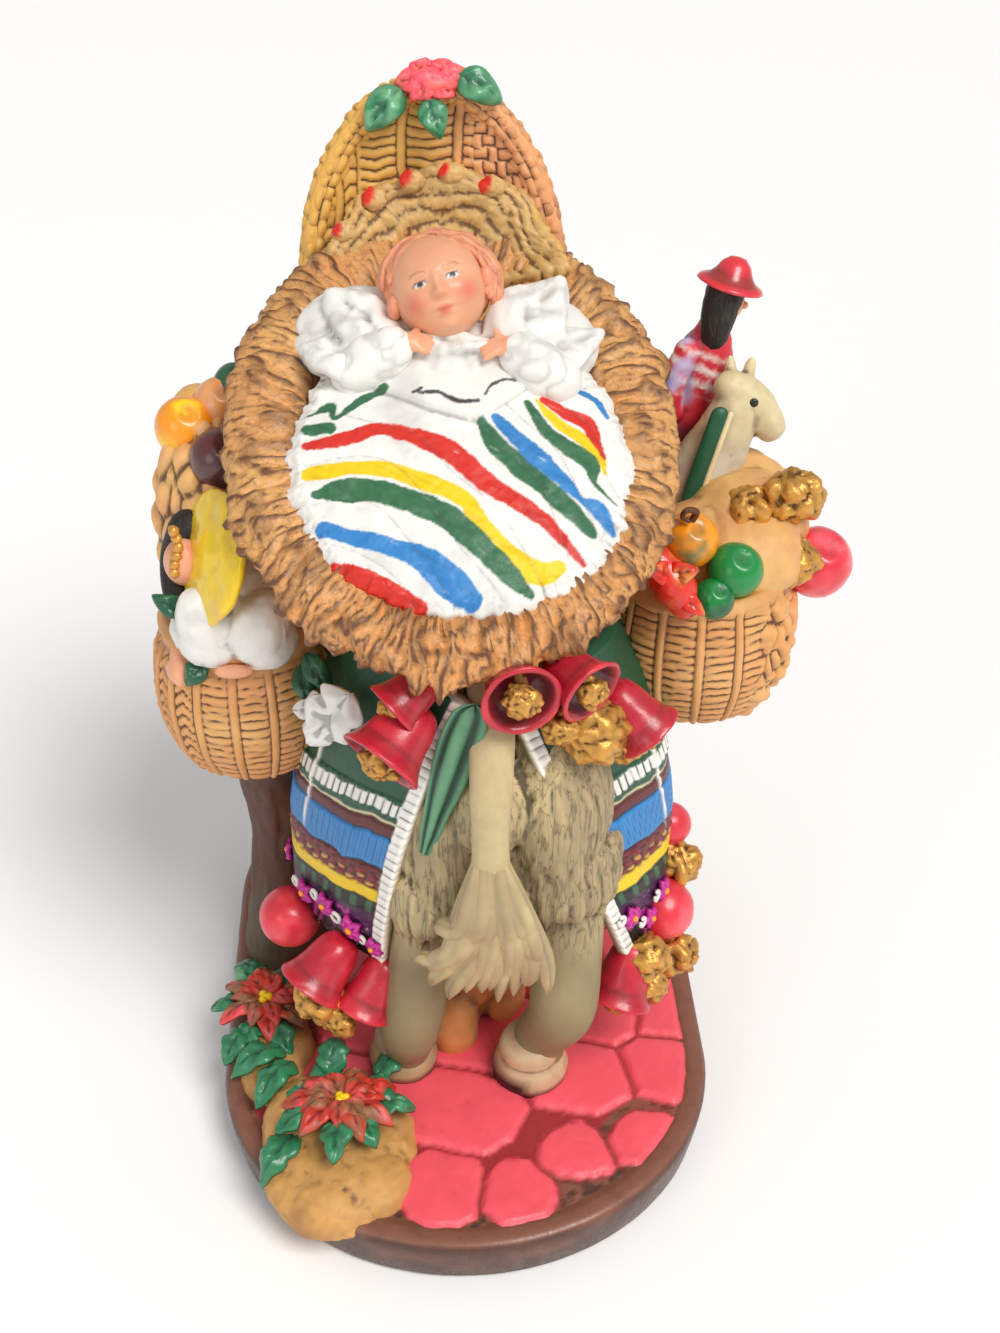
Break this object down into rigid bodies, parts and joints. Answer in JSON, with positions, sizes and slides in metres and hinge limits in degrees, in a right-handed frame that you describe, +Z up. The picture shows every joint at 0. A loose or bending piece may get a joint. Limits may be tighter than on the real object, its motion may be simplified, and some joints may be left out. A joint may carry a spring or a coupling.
{
  "type": "laden burro figurine",
  "caption": "Cast and painted figurine of a burro carrying a hooded wicker cradle with a baby, two full panniers, a serape and bells, on an oval paved base",
  "frame": {"origin": "middle of the base's flat underside", "axes": "+Z up, +Y the way the burro faces, +X to the burro's right; the cradle opens towards -Y"},
  "size_m": [0.1466, 0.1618, 0.2124],
  "materials": {
    "fur": "painted resin, grooved, brown wash",
    "hoof": "painted resin",
    "wicker": "painted resin, woven relief",
    "straw": "painted resin, rough",
    "hat_straw": "painted resin",
    "skin": "painted resin, satin",
    "white_cloth": "painted resin, matt",
    "striped_blanket": "painted resin with brushed stripes",
    "serape": "painted resin with woven bands",
    "bell_red": "painted resin, soft gloss",
    "gilt": "metallic paint on resin",
    "fruit": "painted resin, gloss",
    "yellow": "painted resin",
    "red_dress": "painted resin",
    "black_hair": "painted resin",
    "paver_red": "painted resin, satin",
    "ground": "painted resin, rough",
    "stump": "painted resin, brown wash",
    "leaf_green": "painted resin",
    "petal_red": "painted resin",
    "base_brown": "painted resin, satin, worn edge"
  },
  "bodies": {
    "root": {"burro_figurine": "fur"}
  },
  "joints": []
}
